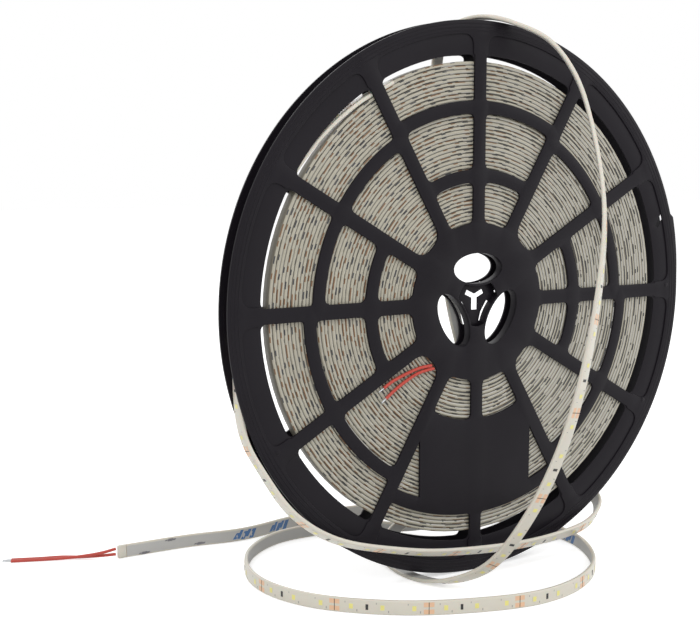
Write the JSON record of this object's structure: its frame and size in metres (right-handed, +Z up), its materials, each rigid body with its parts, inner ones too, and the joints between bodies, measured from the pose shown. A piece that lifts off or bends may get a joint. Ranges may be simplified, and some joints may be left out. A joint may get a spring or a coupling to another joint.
{
  "type": "led strip light reel",
  "caption": "Spoked two-part plastic reel wound with flexible LED strip light, its free end passed over the rim and laid in a loop on the floor, ending in two thin leads.",
  "frame": {"origin": "on the reel's axis, midway between its two flanges, without the loose strip and leads", "axes": "+Y along the reel's axis from the front flange to the rear one, +Z up, the label plate at the bottom, +X to the right seen from the front"},
  "size_m": [0.392, 0.238, 0.3186],
  "materials": {
    "reel_plastic": "satin",
    "strip_silicone": "satin",
    "coil_edges": "matte",
    "red_cover": "satin",
    "tinned_wire": "bright"
  },
  "bodies": {
    "root": {"front_flange": "reel_plastic", "rear_flange": "reel_plastic", "wound_strip": "coil_edges", "loose_strip": "strip_silicone", "end_seal": "strip_silicone", "outer_lead_near": "red_cover", "outer_lead_near_tip": "tinned_wire", "outer_lead_far": "red_cover", "outer_lead_far_tip": "tinned_wire", "inner_lead_upper": "red_cover", "inner_lead_upper_tip": "tinned_wire", "inner_lead_lower": "red_cover", "inner_lead_lower_tip": "tinned_wire"}
  },
  "joints": []
}
